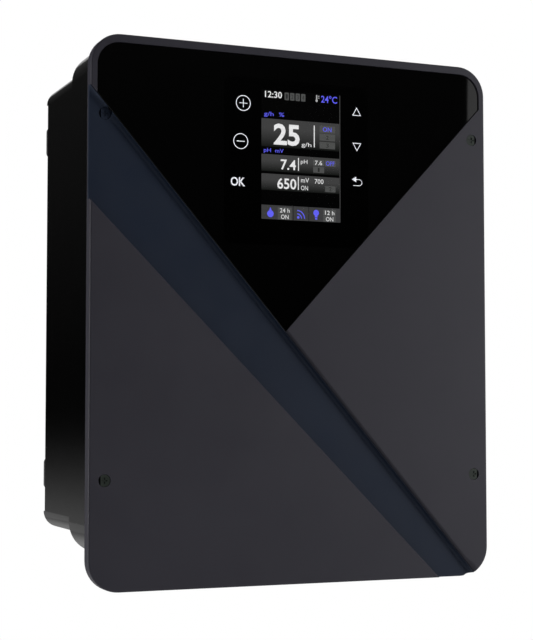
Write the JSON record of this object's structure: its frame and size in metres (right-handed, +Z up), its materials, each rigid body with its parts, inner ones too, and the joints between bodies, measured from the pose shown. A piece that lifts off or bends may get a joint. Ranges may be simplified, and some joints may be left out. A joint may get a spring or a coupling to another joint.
{
  "type": "salt chlorine generator control box",
  "caption": "Wall-mounted control box of a salt chlorine generator: stepped housing, screwed front cover with diagonal band, display and touch keys, cable glands and rocker switch below.",
  "frame": {"origin": "centre of the four wall screw holes, on the wall plane that the spacers rest on", "axes": "+X to the right seen from the front, +Y into the wall, +Z up; the front cover faces -Y"},
  "size_m": [0.2424, 0.105, 0.3],
  "materials": {
    "housing_plastic": "moulded ABS, glossy black",
    "spacer_plastic": "moulded",
    "rubber": "moulded elastomer",
    "insert_brass": "turned",
    "sheet_aluminium": "folded sheet",
    "supply_board": "paper-phenolic laminate",
    "transformer_tape": "yellow polyester tape",
    "black_terminal": "moulded",
    "green_terminal": "moulded polyamide",
    "sink_aluminium": "extruded, natural",
    "black_epoxy": "moulded epoxy",
    "green_board": "solder-masked glass epoxy",
    "relay_blue": "moulded",
    "tinned_steel": "tin plated",
    "fuse_glass": "clear",
    "capacitor_sleeve": "shrink sleeve",
    "copper_winding": "enamelled copper",
    "zinc_steel": "zinc plated",
    "gland_nylon": "moulded polyamide",
    "nickel_brass": "nickel plated brass",
    "white_insulator": "PTFE",
    "gilt_contact": "gold plated",
    "switch_plastic": "moulded",
    "rocker_red": "moulded",
    "cover_anthracite": "fine-textured moulding",
    "band_navy": "fine-textured moulding",
    "lens_black": "back-printed acrylic",
    "tape_foam": "acrylic foam tape",
    "module_metal": "stamped frame",
    "screen_glass": "colour display",
    "pad_foam": "conductive foam",
    "guard_plastic": "moulded",
    "screw_grey": "passivated stainless, cross recess"
  },
  "bodies": {
    "housing": {"rear_housing": "housing_plastic", "wall_spacers": "spacer_plastic", "rim_gasket": "rubber", "threaded_inserts": "insert_brass", "psu_tray": "sheet_aluminium", "psu_cover": "sheet_aluminium", "psu_board": "supply_board", "psu_transformer": "transformer_tape", "psu_terminals": "black_terminal", "heat_sink": "sink_aluminium", "power_transistors": "black_epoxy", "main_board": "green_board", "mains_terminals": "black_terminal", "relay_terminals": "green_terminal", "sensor_terminals": "green_terminal", "relays": "relay_blue", "fuse_holder": "tinned_steel", "glass_fuse": "fuse_glass", "capacitors": "capacitor_sleeve", "output_choke": "copper_winding", "controller_chip": "black_epoxy", "clock_cell": "tinned_steel", "ribbon_header": "black_terminal", "board_screws": "zinc_steel", "gland_bodies": "gland_nylon", "gland_washers": "rubber", "gland_seals": "rubber", "gland_lock_nuts": "gland_nylon", "gland_dome_nuts": "gland_nylon", "probe_sockets": "nickel_brass", "socket_insulators": "white_insulator", "socket_contacts": "gilt_contact", "socket_nuts": "nickel_brass", "switch_body": "switch_plastic", "switch_tabs": "tinned_steel"},
    "cover": {"front_cover": "cover_anthracite", "navy_band": "band_navy", "display_lens": "lens_black", "lens_tape": "tape_foam", "display_module": "module_metal", "display_glass": "screen_glass", "display_board": "green_board", "touch_pads": "pad_foam", "display_header": "black_terminal", "display_guard": "guard_plastic", "display_screws": "zinc_steel", "cover_screws": "screw_grey", "screw_retainers": "white_insulator"},
    "rocker": {"switch_rocker": "rocker_red"}
  },
  "joints": [
    {"name": "cover_lift", "type": "slide", "parent": "housing", "child": "cover", "axis": [0, -1, 0], "range_m": [0, 0.12]},
    {"name": "power_rocker", "type": "hinge", "parent": "housing", "child": "rocker", "pos_m": [-0.0801, -0.032, -0.1283], "axis": [0, 1, 0], "range_deg": [0, 20]}
  ]
}
